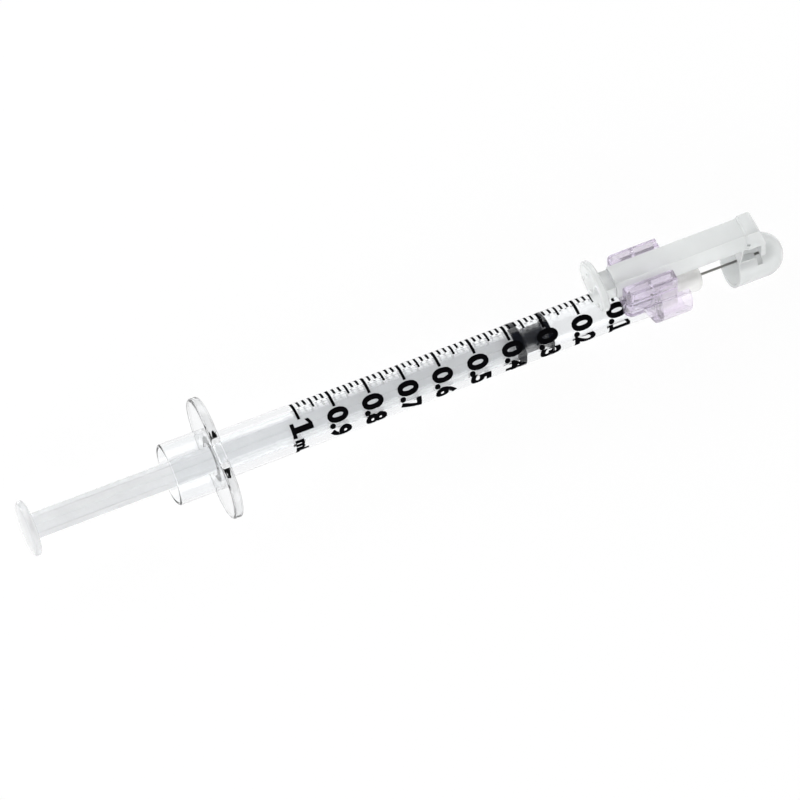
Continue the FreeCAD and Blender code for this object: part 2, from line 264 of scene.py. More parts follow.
def rounded_edges(obj, test, radius):
    """Round the sharp edges that pass a test."""
    only(obj)
    bpy.ops.object.mode_set(mode="EDIT")
    bpy.ops.mesh.select_mode(type="EDGE")
    bpy.ops.mesh.select_all(action="DESELECT")
    bpy.ops.mesh.edges_select_sharp(sharpness=math.radians(25))
    bpy.ops.object.mode_set(mode="OBJECT")
    for edge in obj.data.edges:
        a, b = (obj.data.vertices[i].co for i in edge.vertices)
        edge.select = edge.select and test(a, b)
    bpy.ops.object.mode_set(mode="EDIT")
    bpy.ops.mesh.bevel(offset=radius, segments=4, affect="EDGES", clamp_overlap=True)
    bpy.ops.object.mode_set(mode="OBJECT")


def longer_than(length):
    """Test that an edge passes when it is longer than a length."""
    return lambda a, b: (a - b).length > length


def moulded_copy(node_name, piece_name):
    """Weld a copy of a CAD node into one mesh, so that its edges can be rounded."""
    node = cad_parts[node_name]
    copy = bpy.data.objects.new(piece_name, node.data.copy())
    bpy.context.scene.collection.objects.link(copy)
    only(copy)
    bpy.ops.mesh.customdata_custom_splitnormals_clear()
    bpy.ops.object.mode_set(mode="EDIT")
    bpy.ops.mesh.select_all(action="SELECT")
    bpy.ops.mesh.remove_doubles(threshold=0.001 * MM)
    bpy.ops.mesh.dissolve_limited(angle_limit=math.radians(0.5))
    bpy.ops.object.mode_set(mode="OBJECT")
    return copy


def add_node(tree, kind, settings=None, **links):
    """Add a node, set its sockets or properties by name, and link its inputs."""
    made = tree.nodes.new(kind)
    for key, value in (settings or {}).items():
        if key in made.inputs:
            made.inputs[key].default_value = value
        else:
            setattr(made, key, value)
    for key, source in links.items():
        tree.links.new(source, made.inputs[key.replace("_", " ")])
    return made


def new_material(name):
    """Empty node material and its tree."""
    material = bpy.data.materials.new(name)
    material.use_nodes = True
    material.node_tree.nodes.clear()
    return material, material.node_tree


def ripple(tree, grain_mm, height_mm, stretch=(1.0, 1.0, 1.0)):
    """Normal of a surface whose ripples are grain_mm apart and about height_mm high."""
    place = add_node(tree, "ShaderNodeTexCoord")
    turned = add_node(tree, "ShaderNodeMapping", {"Scale": stretch}, Vector=place.outputs["Object"])
    noise = add_node(tree, "ShaderNodeTexNoise", {"Scale": 1 / (grain_mm * MM), "Detail": 2.0},
                     Vector=turned.outputs["Vector"])
    bump = add_node(tree, "ShaderNodeBump", {"Strength": 1.0, "Distance": height_mm * MM},
                    Height=noise.outputs["Fac"])
    return bump.outputs["Normal"]


def mottled(tree, colour, change, grain_mm):
    """Colour that drifts a little from place to place, as plastic does where it flowed."""
    place = add_node(tree, "ShaderNodeTexCoord")
    noise = add_node(tree, "ShaderNodeTexNoise", {"Scale": 1 / (grain_mm * MM), "Detail": 1.0},
                     Vector=place.outputs["Object"])
    ramp = add_node(tree, "ShaderNodeValToRGB", Fac=noise.outputs["Fac"])
    ramp.color_ramp.elements[0].position = 0.3
    ramp.color_ramp.elements[1].position = 0.7
    ramp.color_ramp.elements[0].color = tuple(c * (1 - change) for c in colour) + (1,)
    ramp.color_ramp.elements[1].color = tuple(colour) + (1,)
    return ramp.outputs["Color"]


def surface(name, settings, colour, drift, unevenness):
    """Material whose colour drifts and whose surface is uneven, with its tree, body and output.

    drift holds the share by which the colour changes and the distance in mm over which it does.
    unevenness holds the distance between ripples and their height in mm, and their stretch.
    """
    material, tree = new_material(name)
    body = add_node(tree, "ShaderNodeBsdfPrincipled", settings)
    tree.links.new(mottled(tree, colour, *drift), body.inputs["Base Color"])
    tree.links.new(ripple(tree, *unevenness), body.inputs["Normal"])
    output = add_node(tree, "ShaderNodeOutputMaterial", Surface=body.outputs["BSDF"])
    return material, tree, body, output


def plastic(name, colour, roughness, ior, clearness, haze, flow_mm, wave_mm, depth=None):
    """Injection-moulded plastic, from clear to milky.

    clearness is the share of light that passes straight through and haze the share that the
    plastic scatters inside. The mould leaves waves flow_mm apart and wave_mm high. depth is the
    colour that light takes on along the wall and the share of it that a millimetre takes away.
    """
    material, tree, body, output = surface(name, {
        "Roughness": roughness,
        "IOR": ior,
        "Transmission Weight": clearness,
        "Subsurface Weight": haze,
        "Subsurface Scale": 0.6 * MM,
        "Subsurface Radius": (1.0, 1.0, 1.0),
    }, colour, drift=(0.04, flow_mm), unevenness=(flow_mm, wave_mm))
    if depth:
        tint, per_mm = depth
        inside = add_node(tree, "ShaderNodeVolumeAbsorption", {
            "Color": tuple(tint) + (1,), "Density": per_mm / MM})
        tree.links.new(inside.outputs["Volume"], output.inputs["Volume"])
    return material


def barrel_polypropylene(colours):
    """Clarified polypropylene, polished mould: clear as glass, with faint grey at its edges."""
    return plastic("Clarified polypropylene", colours.barrel, roughness=0.02, ior=1.49,
                   clearness=1.0, haze=0.0, flow_mm=5.0, wave_mm=0.0005,
                   depth=(linear("3C4042"), 0.012))


def plunger_polypropylene(colours):
    """Natural polypropylene: half clear and greyish, with a soft shine."""
    return plastic("Natural polypropylene", colours.plunger, roughness=0.08, ior=1.49,
                   clearness=0.6, haze=0.3, flow_mm=3.0, wave_mm=0.003)


def hub_polypropylene(colours):
    """Hazy polypropylene of the hub: light goes in and spreads, so it looks like frosted wax."""
    return plastic("Hazy polypropylene", colours.hub, roughness=0.25, ior=1.49,
                   clearness=0.35, haze=0.5, flow_mm=2.0, wave_mm=0.006)


def collar_polycarbonate(colours):
    """Tinted polycarbonate: clear, glossy, faintly lilac, deeper where light runs along a wall."""
    return plastic("Tinted polycarbonate", colours.collar, roughness=0.06, ior=1.5,
                   clearness=0.9, haze=0.1, flow_mm=3.0, wave_mm=0.0005,
                   depth=(linear("C2A9D8"), 0.07))


def shield_polypropylene(colours):
    """Milky polypropylene: whitish, satin, a little clear at thin walls."""
    return plastic("Milky polypropylene", colours.shield, roughness=0.14, ior=1.49,
                   clearness=0.5, haze=0.35, flow_mm=3.0, wave_mm=0.004)


def needle_glue(colours):
    """Cured clear epoxy: glossy, a little uneven."""
    return plastic("Cured clear epoxy", colours.glue, roughness=0.05, ior=1.52,
                   clearness=0.9, haze=0.1, flow_mm=0.8, wave_mm=0.006)


def stopper_rubber(colours):
    """Halobutyl rubber with silicone oil: blue-black, with long soft highlights.

    The ribs lie wet against the bore, so that they don't shine and look darker than the waist.
    """
    material, tree, body = surface(
        "Siliconed halobutyl rubber", {"Roughness": 0.25, "IOR": 1.48}, colours.stopper,
        drift=(0.25, 0.6), unevenness=(0.3, 0.01))[:3]
    place = add_node(tree, "ShaderNodeTexCoord")
    across = add_node(tree, "ShaderNodeVectorMath", {"operation": "MULTIPLY"})
    tree.links.new(place.outputs["Object"], across.inputs[0])
    across.inputs[1].default_value = (0.0, 1.0, 1.0)
    radius = add_node(tree, "ShaderNodeVectorMath", {"operation": "LENGTH"})
    tree.links.new(across.outputs["Vector"], radius.inputs[0])
    shine = add_node(tree, "ShaderNodeMath", {"operation": "LESS_THAN"})
    tree.links.new(radius.outputs["Value"], shine.inputs[0])
    shine.inputs[1].default_value = (BORE - WET_EDGE) * MM
    tree.links.new(shine.outputs["Value"], body.inputs["Specular IOR Level"])
    return material


def needle_steel(colours):
    """Drawn stainless tube: bright, with scratches along it, 0.06 mm apart so that they show."""
    return surface(
        "Drawn stainless steel", {"Metallic": 1.0, "Roughness": 0.3}, colours.steel,
        drift=(0.1, 0.5), unevenness=(0.06, 0.002, (0.05, 1.0, 1.0)))[0]


def printing_ink(colours):
    """Pad-printed ink: matt black, with the fine unevenness of the pad."""
    return surface(
        "Pad-printed ink", {"Roughness": 0.6, "Specular IOR Level": 0.0}, colours.ink,
        drift=(0.3, 0.3), unevenness=(0.15, 0.002))[0]


def studio_paper(colours):
    """White seamless paper: plain white to the eye, with the object's soft shadow left on it."""
    material, tree = new_material("White seamless paper")
    path = add_node(tree, "ShaderNodeLightPath")
    see = add_node(tree, "ShaderNodeMath", {"operation": "ADD"})
    tree.links.new(path.outputs["Is Camera Ray"], see.inputs[0])
    tree.links.new(path.outputs["Is Transmission Ray"], see.inputs[1])
    seen = add_node(tree, "ShaderNodeMath", {"operation": "ADD", "use_clamp": True})
    tree.links.new(see.outputs["Value"], seen.inputs[0])
    tree.links.new(path.outputs["Is Glossy Ray"], seen.inputs[1])
    share = add_node(tree, "ShaderNodeMath", {"operation": "MULTIPLY"})
    tree.links.new(seen.outputs["Value"], share.inputs[0])
    share.inputs[1].default_value = PAPER_WHITE
    paper = add_node(tree, "ShaderNodeBsdfDiffuse", {"Color": tuple(colours.floor) + (1,)})
    white = add_node(tree, "ShaderNodeEmission", {"Color": (1, 1, 1, 1), "Strength": 1.0})
    mix = add_node(tree, "ShaderNodeMixShader", Fac=share.outputs["Value"])
    tree.links.new(paper.outputs["BSDF"], mix.inputs[1])
    tree.links.new(white.outputs["Emission"], mix.inputs[2])
    add_node(tree, "ShaderNodeOutputMaterial", Surface=mix.outputs["Shader"])
    return material


def length_setting(name, description, millimetres):
    """Length property with its default in millimetres."""
    return bpy.props.FloatProperty(
        name=name, description=description, default=millimetres * MM, unit="LENGTH", precision=5)


def turn_setting(name, description, degrees):
    """Angle property with its default in degrees."""
    return bpy.props.FloatProperty(
        name=name, description=description, default=math.radians(degrees), subtype="ANGLE")


def colour_setting(name, description, hex_colour):
    """Colour property with its default as an sRGB hex value."""
    return bpy.props.FloatVectorProperty(
        name=name, description=description, default=linear(hex_colour), subtype="COLOR", size=3,
        min=0, max=1)


class SyringeColours(bpy.types.PropertyGroup):
    """Colours of the syringe's plastics, rubber, metal and ink."""

    barrel: colour_setting("Barrel", "Colour of the clear barrel", "FBFCFD")
    plunger: colour_setting("Plunger", "Colour of the plunger rod", "DDDEDF")
    stopper: colour_setting("Stopper", "Colour of the rubber stopper", "0A0E18")
    hub: colour_setting("Hub", "Colour of the needle hub", "F6F6F4")
    steel: colour_setting("Needle", "Colour of the needle's steel", "8E8D8A")
    glue: colour_setting("Glue", "Colour of the glue round the needle", "F2F1EA")
    collar: colour_setting("Collar", "Tint of the collar", "F1ECF4")
    shield: colour_setting("Shield", "Colour of the sliding shield", "EEF0F0")
    ink: colour_setting("Ink", "Colour of the printed scale", "0A0A0C")
    floor: colour_setting("Floor", "Colour of the studio floor", "F7F7F7")


class SyringePrint(bpy.types.PropertyGroup):
    """Sizes of the printed scale."""

    line_width: length_setting("Line width", "Width of a numbered line", 0.46)
    fine_line_width: length_setting("Fine line width", "Width of the shorter lines", 0.36)
    film: length_setting("Ink film", "Thickness of the ink, thick enough to render cleanly", 0.012)
    line_start: turn_setting("Line start", "Turn from the upper outline where a line starts", 15.0)
    short_end: turn_setting("Short line end", "Turn at which a short line ends", 42.0)
    medium_end: turn_setting("Medium line end", "Turn at which a medium line ends", 57.0)
    long_end: turn_setting("Numbered line end", "Turn at which a numbered line ends", 75.0)
    numeral_start: turn_setting("Numeral start", "Turn at which a numeral starts", 78.5)
    numeral_height: length_setting("Numeral height", "Height of a numeral along the barrel", 3.45)
    numeral_weight: bpy.props.FloatProperty(
        name="Numeral weight", default=0.05,
        description="Share of the font's size that thickens every stroke")
    unit_height: length_setting("Unit height", "Height of the unit's capital along the barrel", 2.0)
    unit_weight: bpy.props.FloatProperty(
        name="Unit weight", default=0.065,
        description="Share of the font's size that thickens the unit's strokes")


class SyringeShape(bpy.types.PropertyGroup):
    """Corner sizes that a mould gives the pieces."""

    flange_corner: length_setting("Flange corner", "Rounding of the finger flange's rims", 0.4)
    rib_corner: length_setting("Rib corner", "Rounding of the plunger's ribs", 0.22)
    collar_corner: length_setting("Collar corner", "Rounding of the collar's edges", 0.15)
    shield_corner: length_setting("Shield corner", "Rounding of the shield's edges", 0.28)


def barrel_radius(x):
    """Outside radius of the tapered barrel at a station, in millimetres."""
    share = min(max(x / SEAT, 0.0), 1.0)
    return BARREL_REAR + (BARREL_SEAT - BARREL_REAR) * share


def turn_share(x):
    """How much wider a flat print is drawn at a station, so that it keeps its size on the taper."""
    return PRINT_RADIUS / (barrel_radius(x) * MM)


class SyringeBarrel(bpy.types.Operator):
    """Clear barrel: tapered tube, rear sleeve, nose and oval finger flange in one moulding"""

    bl_idname = "syringe.barrel"
    bl_label = "Barrel"

    def execute(self, context):
        rim = (SLEEVE_OUT - SLEEVE_IN) / 2
        tube = lathe(
            "barrel_moulding",
            arc(SLEEVE_REAR + rim, SLEEVE_IN + rim, rim, 270, 90, 8)
            + [(FLANGE_REAR / 2, SLEEVE_OUT), (FLANGE_REAR / 2, BARREL_REAR), (SEAT, BARREL_SEAT)]
            + arc(SHOULDER - 0.2, BARREL_SEAT - 0.2, 0.2, 90, 0, 4)
            + [(SHOULDER, NOSE)]
            + arc(NOSE_END - 0.15, NOSE - 0.15, 0.15, 90, 0, 3)
            + [(NOSE_END, OUTLET), (BORE_END, OUTLET)]
            + arc(BORE_END - 0.5, BORE - 0.5, 0.5, 0, 90, 5)
            + arc(FLANGE_REAR + 0.37, BORE + 0.35, 0.35, 270, 180, 5)
            + [(FLANGE_REAR + 0.02, SLEEVE_IN)],
            closed=True,
        )
        fused(tube, self.flange(context.scene.syringe_shape.flange_corner))
        finish_piece(tube, "barrel_body",
                     barrel_polypropylene(context.scene.syringe_colours),
                     ["barrel"], casts_shadow=False)
        return {"FINISHED"}

    def flange(self, corner):
        """Oval plate: a disc pulled apart along Y, with rounded rims and a hole for the tube."""
        bpy.ops.object.select_all(action="DESELECT")
        end_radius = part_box("barrel")[1].z
        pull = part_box("barrel")[1].y - end_radius
        bpy.ops.mesh.primitive_cylinder_add(
            vertices=ROUND_SIDES, radius=end_radius, depth=-FLANGE_REAR * MM,
            location=(FLANGE_REAR * MM / 2, 0, 0), rotation=(0, math.pi / 2, 0))
        plate = bpy.context.object
        apply_place(plate)
        for side in (-1, 1):
            shift_points(plate, lambda place: place.y * side > 0.01 * MM, (0, side * pull, 0))
        apply_modifier(plate, "BEVEL", width=corner, segments=5, limit_method="ANGLE",
                       angle_limit=math.radians(60))
        rear, front = 2 * FLANGE_REAR, 1
        wide = 3.1  # inside the tube's wall, so that the plate grows into the tube
        hole = lathe("flange_hole", [(rear, 0), (rear, wide), (front, wide), (front, 0)])
        apply_modifier(plate, "BOOLEAN", operation="DIFFERENCE", solver="EXACT", object=hole)
        bpy.data.objects.remove(hole)
        return plate


class SyringePlunger(bpy.types.Operator):
    """Plunger rod: thumb disc, four long ribs, front disc and the spigot inside the stopper"""

    bl_idname = "syringe.plunger"
    bl_label = "Plunger rod"

    def execute(self, context):
        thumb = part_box("plunger_rod")[1].y / MM
        rim, fillet, edge = 0.5, 0.5, 0.15
        neck = 2.6
        sunk = 0.3
        disc = BORE - 0.05 - edge
        head = lathe(
            "plunger_moulding",
            [(THUMB_REAR, 0)]
            + arc(THUMB_REAR + rim, thumb - rim, rim, 180, 90)
            + arc(THUMB_FRONT - rim, thumb - rim, rim, 90, 0)
            + [(THUMB_FRONT, neck)]
            + arc(THUMB_FRONT + fillet, neck - fillet / 2, fillet, 180, 270, 4)[1:3]
            + [(THUMB_FRONT + sunk, 0)],
        )
        front = lathe(
            "plunger_front",
            [(ROD_DISC, 0)]
            + arc(ROD_DISC + edge, disc, edge, 180, 90, 3)
            + arc(STOPPER_REAR - edge, disc, edge, 90, 0, 3)
            + [(STOPPER_REAR, SPIGOT), (SOCKET_NECK, SPIGOT), (SOCKET_NECK, SPIGOT_HEAD),
               (SOCKET_END, SPIGOT), (SOCKET_END, 0)],
        )
        corner = context.scene.syringe_shape.rib_corner
        fused(head, self.ribs(THUMB_FRONT - sunk, ROD_DISC + sunk, corner), front)
        finish_piece(head, "plunger",
                     plunger_polypropylene(context.scene.syringe_colours),
                     ["plunger_rod"], casts_shadow=False)
        return {"FINISHED"}

    def ribs(self, start, end, corner):
        """Cross-shaped bar: a square core with each long side pulled out into a rib."""
        bpy.ops.object.select_all(action="DESELECT")
        wall = 1.2
        rise = 1.7
        core = (wall / 2 + 0.1) * MM
        fillet = 0.12 * MM
        bpy.ops.mesh.primitive_cube_add(size=wall * MM, location=((start + end) / 2 * MM, 0, 0))
        bar = bpy.context.object
        bar.name = "plunger_ribs"
        bpy.ops.transform.resize(value=((end - start) / wall, 1, 1))
        apply_place(bar)
        pick(bar, "FACE", lambda normal: abs(normal.x) < 0.5)
        bpy.ops.mesh.extrude_faces_move(TRANSFORM_OT_shrink_fatten={"value": rise * MM})
        bpy.ops.object.mode_set(mode="OBJECT")
        pick(bar, "EDGE", lambda a, b: abs(a.x - b.x) > MM and max(abs(a.y), abs(a.z)) > MM)
        bpy.ops.mesh.bevel(offset=corner, segments=4, affect="EDGES")
        bpy.ops.object.mode_set(mode="OBJECT")
        pick(bar, "EDGE", lambda a, b: abs(a.x - b.x) > MM and max(abs(a.y), abs(a.z)) < core)
        bpy.ops.mesh.bevel(offset=fillet, segments=3, affect="EDGES")
        bpy.ops.mesh.select_all(action="SELECT")
        bpy.ops.mesh.normals_make_consistent(inside=False)
        bpy.ops.object.mode_set(mode="OBJECT")
        bar.rotation_euler.x = ROD_TURN
        apply_place(bar)
        return bar


class SyringeStopper(bpy.types.Operator):
    """Rubber stopper: a wide rear rib, a waist, a narrow front rib and a socket for the spigot"""

    bl_idname = "syringe.stopper"
    bl_label = "Stopper"

    def execute(self, context):
        rib = BORE + RIB_PRESS
        waist = BORE - WAIST_DEPTH
        corner, fillet, slope = 0.2, 0.25, 0.65
        rear_rib_end, front_rib_start, front_rib_end = 48.7, 52.85, 53.25
        tip, tip_radius = 53.85, 1.2
        stopper = lathe(
            "stopper_moulding",
            [(STOPPER_REAR, SPIGOT)]
            + arc(STOPPER_REAR + corner, rib - corner, corner, 180, 90, 4)
            + arc(rear_rib_end, rib - corner, corner, 90, 30, 4)
            + arc(rear_rib_end + slope, waist + fillet, fillet, 210, 270, 4)
            + arc(front_rib_start - slope, waist + fillet, fillet, 270, 330, 4)
            + arc(front_rib_start, rib - corner, corner, 150, 90, 4)
            + arc(front_rib_end, rib - fillet, fillet, 90, 20, 5)
            + [(tip - 0.13, tip_radius), (tip, 0), (SOCKET_END, 0), (SOCKET_END, SPIGOT),
               (SOCKET_NECK, SPIGOT_HEAD), (SOCKET_NECK, SPIGOT)],
            closed=True,
        )
        finish_piece(stopper, "plunger",
                     stopper_rubber(context.scene.syringe_colours), ["stopper"])
        return {"FINISHED"}


class SyringeNeedle(bpy.types.Operator):
    """Needle: hub on the barrel's nose, steel tube with a ground bevel, and the glue round it"""

    bl_idname = "syringe.needle"
    bl_label = "Needle and hub"

    def execute(self, context):
        colours = context.scene.syringe_colours
        edge, dome = 0.12, 1.1
        cup, cup_depth = 0.75, 0.9  # hollow in the hub's front that the glue fills
        hub = lathe(
            "hub_moulding",
            [(SHOULDER, NOSE)]
            + arc(SHOULDER + edge, HUB_REAR - edge, edge, 180, 90, 3)
            + arc(HUB_FRONT - dome, HUB_DOME - dome, dome, 90, 0, 8)
            + [(HUB_FRONT, cup), (HUB_FRONT - cup_depth, CANNULA), (NOSE_END, CANNULA),
               (NOSE_END, NOSE)],
            closed=True,
        )
        finish_piece(hub, "barrel_body", hub_polypropylene(colours), ["needle_hub"])
        tube = lathe(
            "cannula_tube",
            [(CANNULA_REAR, CANNULA_BORE), (CANNULA_REAR, CANNULA), (NEEDLE_TIP, CANNULA),
             (NEEDLE_TIP, CANNULA_BORE)],
            closed=True, sides=32,
        )
        self.grind(tube, GRIND_ANGLE)
        finish_piece(tube, "barrel_body", needle_steel(colours), ["cannula"])
        glue = lathe(
            "glue_cone",
            [(HUB_FRONT - cup_depth, CANNULA), (HUB_FRONT, cup), (HUB_FRONT + 0.08, 0.5),
             (HUB_FRONT + 0.3, CANNULA)],
            closed=True, sides=48,
        )
        finish_piece(glue, "barrel_body", needle_glue(colours), ["hub_glue"],
                     casts_shadow=False)
        return {"FINISHED"}

    def grind(self, tube, angle):
        """Cut the tip off along a slanted plane."""
        only(tube)
        bpy.ops.object.mode_set(mode="EDIT")
        bpy.ops.mesh.select_all(action="SELECT")
        bpy.ops.mesh.bisect(
            plane_co=(NEEDLE_TIP * MM, 0, -CANNULA * MM),
            plane_no=(math.sin(angle), 0, math.cos(angle)),
            clear_outer=True, use_fill=True)
        bpy.ops.object.mode_set(mode="OBJECT")


class SyringeCollar(bpy.types.Operator):
    """Tinted collar with its rails, cup and lip"""

    bl_idname = "syringe.collar"
    bl_label = "Safety collar"

    def execute(self, context):
        collar = moulded_copy("safety_collar", "collar_moulding")
        main_edges = longer_than(1.2 * MM)
        rounded_edges(collar, main_edges, context.scene.syringe_shape.collar_corner)
        finish_piece(collar, "barrel_body",
                     collar_polycarbonate(context.scene.syringe_colours),
                     ["safety_collar"], casts_shadow=False)
        return {"FINISHED"}


class SyringeShield(bpy.types.Operator):
    """Milky sliding shield with its finger pad, arm and needle cap"""

    bl_idname = "syringe.shield"
    bl_label = "Safety shield"

    def execute(self, context):
        shield = moulded_copy("safety_shield", "shield_moulding")
        arm_end_corner = 0.2 * MM
        rounded_edges(shield, self.at_arm_end, arm_end_corner)
        main_edges = longer_than(4 * MM)
        rounded_edges(shield, main_edges, context.scene.syringe_shape.shield_corner)
        finish_piece(shield, "shield",
                     shield_polypropylene(context.scene.syringe_colours), ["safety_shield"])
        return {"FINISHED"}

    def at_arm_end(self, a, b):
        """True for an outer edge of the arm's raised front end, above the needle cap."""
        foot, top, side = 6.9, 8.2, 1.8
        front, end = 85.4, 87.2
        a, b = (Matrix.Rotation(-GUARD_ROLL, 3, "X") @ place / MM for place in (a, b))
        outside = all(p.z > foot and (abs(p.y) > side or p.z > top) for p in (a, b))
        return outside and min(a.x, b.x) > front and max(a.x, b.x) > end


def joined(name, parts):
    """Join several meshes into one piece."""
    bpy.ops.object.select_all(action="DESELECT")
    for part in parts:
        part.select_set(True)
    bpy.context.view_layer.objects.active = parts[0]
    bpy.ops.object.join()
    parts[0].name = name
    return parts[0]


def strip(start, length, middle, width):
    """Flat rectangle that starts at a distance round the barrel, centred on a place along it."""
    bpy.ops.object.select_all(action="DESELECT")
    bpy.ops.mesh.primitive_plane_add(size=1, location=(0, 0, 0))
    made = bpy.context.object
    bpy.ops.transform.resize(value=(length, width, 1))
    bpy.ops.transform.translate(value=(start + length / 2, middle, 0))
    apply_place(made)
    return made


def wrap_on_barrel(obj, film):
    """Bend a flat print round the barrel, press it on the wall and give the ink its thickness.

    The print's X runs round the barrel from its upper outline, and its Y runs along it. One turn
    about (1, 1, 1) lays it along the bore, the bend curls it round, and the last turn brings its
    start to the upper outline.
    """
    only(obj)
    low, high = span(obj, 0)
    bpy.ops.object.mode_set(mode="EDIT")
    for i in range(1, int((high - low) / PRINT_STRIP) + 1):
        bpy.ops.mesh.select_all(action="SELECT")
        bpy.ops.mesh.bisect(plane_co=(low + i * PRINT_STRIP, 0, 0), plane_no=(1, 0, 0))
    bpy.ops.object.mode_set(mode="OBJECT")
    obj.rotation_mode = "QUATERNION"
    obj.rotation_quaternion = Quaternion((1, 1, 1), -FULL_TURN / 3)
    apply_place(obj)
    apply_modifier(obj, "SIMPLE_DEFORM", deform_method="BEND", deform_axis="X",
                   angle=(low - high) / PRINT_RADIUS)
    obj.location.y = PRINT_RADIUS
    apply_place(obj)
    obj.rotation_mode = "XYZ"
    obj.rotation_euler.x = OUTLINE_TURN
    apply_place(obj)
    apply_modifier(obj, "SHRINKWRAP", target=bpy.data.objects["barrel_moulding"],
                   wrap_method="NEAREST_SURFACEPOINT", wrap_mode="ABOVE_SURFACE", offset=PRINT_GAP)
    apply_modifier(obj, "SOLIDIFY", thickness=film, offset=1.0)


class SyringeScale(bpy.types.Operator):
    """Printed scale: ten numbered lines, five between each two, the numerals and their unit"""

    bl_idname = "syringe.scale"
    bl_label = "Printed scale"

    def execute(self, context):
        sizes = context.scene.syringe_print
        ink = printing_ink(context.scene.syringe_colours)
        tenth = (SCALE_ZERO - SCALE_FULL) / 10
        gap = tenth / LINES_A_TENTH
        lines = joined("scale_lines", [
            self.line(i, SCALE_FULL + i * gap, sizes) for i in range(LINES_A_TENTH)])
        apply_modifier(lines, "ARRAY", count=10, use_relative_offset=False,
                       use_constant_offset=True, constant_offset_displace=(0, tenth * MM, 0))
        lines = joined("scale_lines", [lines, self.line(0, SCALE_ZERO, sizes)])
        height, start = sizes.numeral_height, sizes.numeral_start
        first = SCALE_ZERO - tenth
        weight = sizes.numeral_weight
        after_zero = 0.92 * height / (barrel_radius(first) * MM)
        after_one = 0.8 * height / (barrel_radius(SCALE_FULL) * MM)
        unit_x = SCALE_FULL - 0.6
        words = [
            self.one(SCALE_FULL, start, height),
            self.word("mL", unit_x, start + after_one, sizes.unit_height, sizes.unit_weight),
            self.word("0.", first, start, height, weight),
            self.one(first, start + after_zero, height),
        ]
        for i in range(2, 10):
            words.append(self.word("0." + str(i), SCALE_ZERO - i * tenth, start, height, weight))
        for piece in (lines, joined("scale_numerals", words)):
            wrap_on_barrel(piece, sizes.film)
            finish_piece(piece, "barrel_body", ink)
        return {"FINISHED"}

    def line(self, place, x, sizes):
        """One line of a tenth: the first is numbered and the fourth stands for half a tenth."""
        width = sizes.fine_line_width if place else sizes.line_width
        start = sizes.line_start
        end = {0: sizes.long_end, 3: sizes.medium_end}.get(place, sizes.short_end)
        return strip(start * PRINT_RADIUS, (end - start) * PRINT_RADIUS, x * MM, width)

    def one(self, x, turn, height):
        """The numeral 1: a stem with a slab foot and a slanted flag."""
        wide = height * turn_share(x)
        slab = 0.18 * height
        start = turn * PRINT_RADIUS
        middle = x * MM
        foot = strip(start + 0.02 * wide, 0.68 * wide, middle - height / 2 + slab / 2, slab)
        post = strip(start + 0.22 * wide, 0.28 * wide, middle + slab / 2, height - slab)
        flag = strip(start, 0.22 * wide, middle + 0.3 * height, 0.17 * height)
        shift_points(flag, lambda place: place.x > start + 0.1 * wide, (0, 0.12 * height, 0))
        return joined("numeral_one", [post, foot, flag])

    def word(self, text, x, turn, height, weight):
        """One bold word, centred on a station and read round the barrel."""
        bpy.ops.object.select_all(action="DESELECT")
        bpy.ops.object.text_add(location=(0, 0, 0))
        word = bpy.context.object
        word.data.body = text
        word.data.offset = weight
        word.data.space_character = LETTER_SPACING
        word.data.resolution_u = 4
        bpy.ops.object.convert(target="MESH")
        low_x = span(word, 0)[0]
        low_y, high_y = span(word, 1)
        scale = height / (high_y - low_y)
        wide = WORD_WIDENING * scale * turn_share(x)
        bpy.ops.transform.translate(value=(-low_x, -(low_y + high_y) / 2, 0))
        apply_place(word)
        bpy.ops.transform.resize(value=(wide, scale, 1), center_override=(0, 0, 0))
        bpy.ops.transform.translate(value=(turn * PRINT_RADIUS, x * MM, 0))
        apply_place(word)
        return word


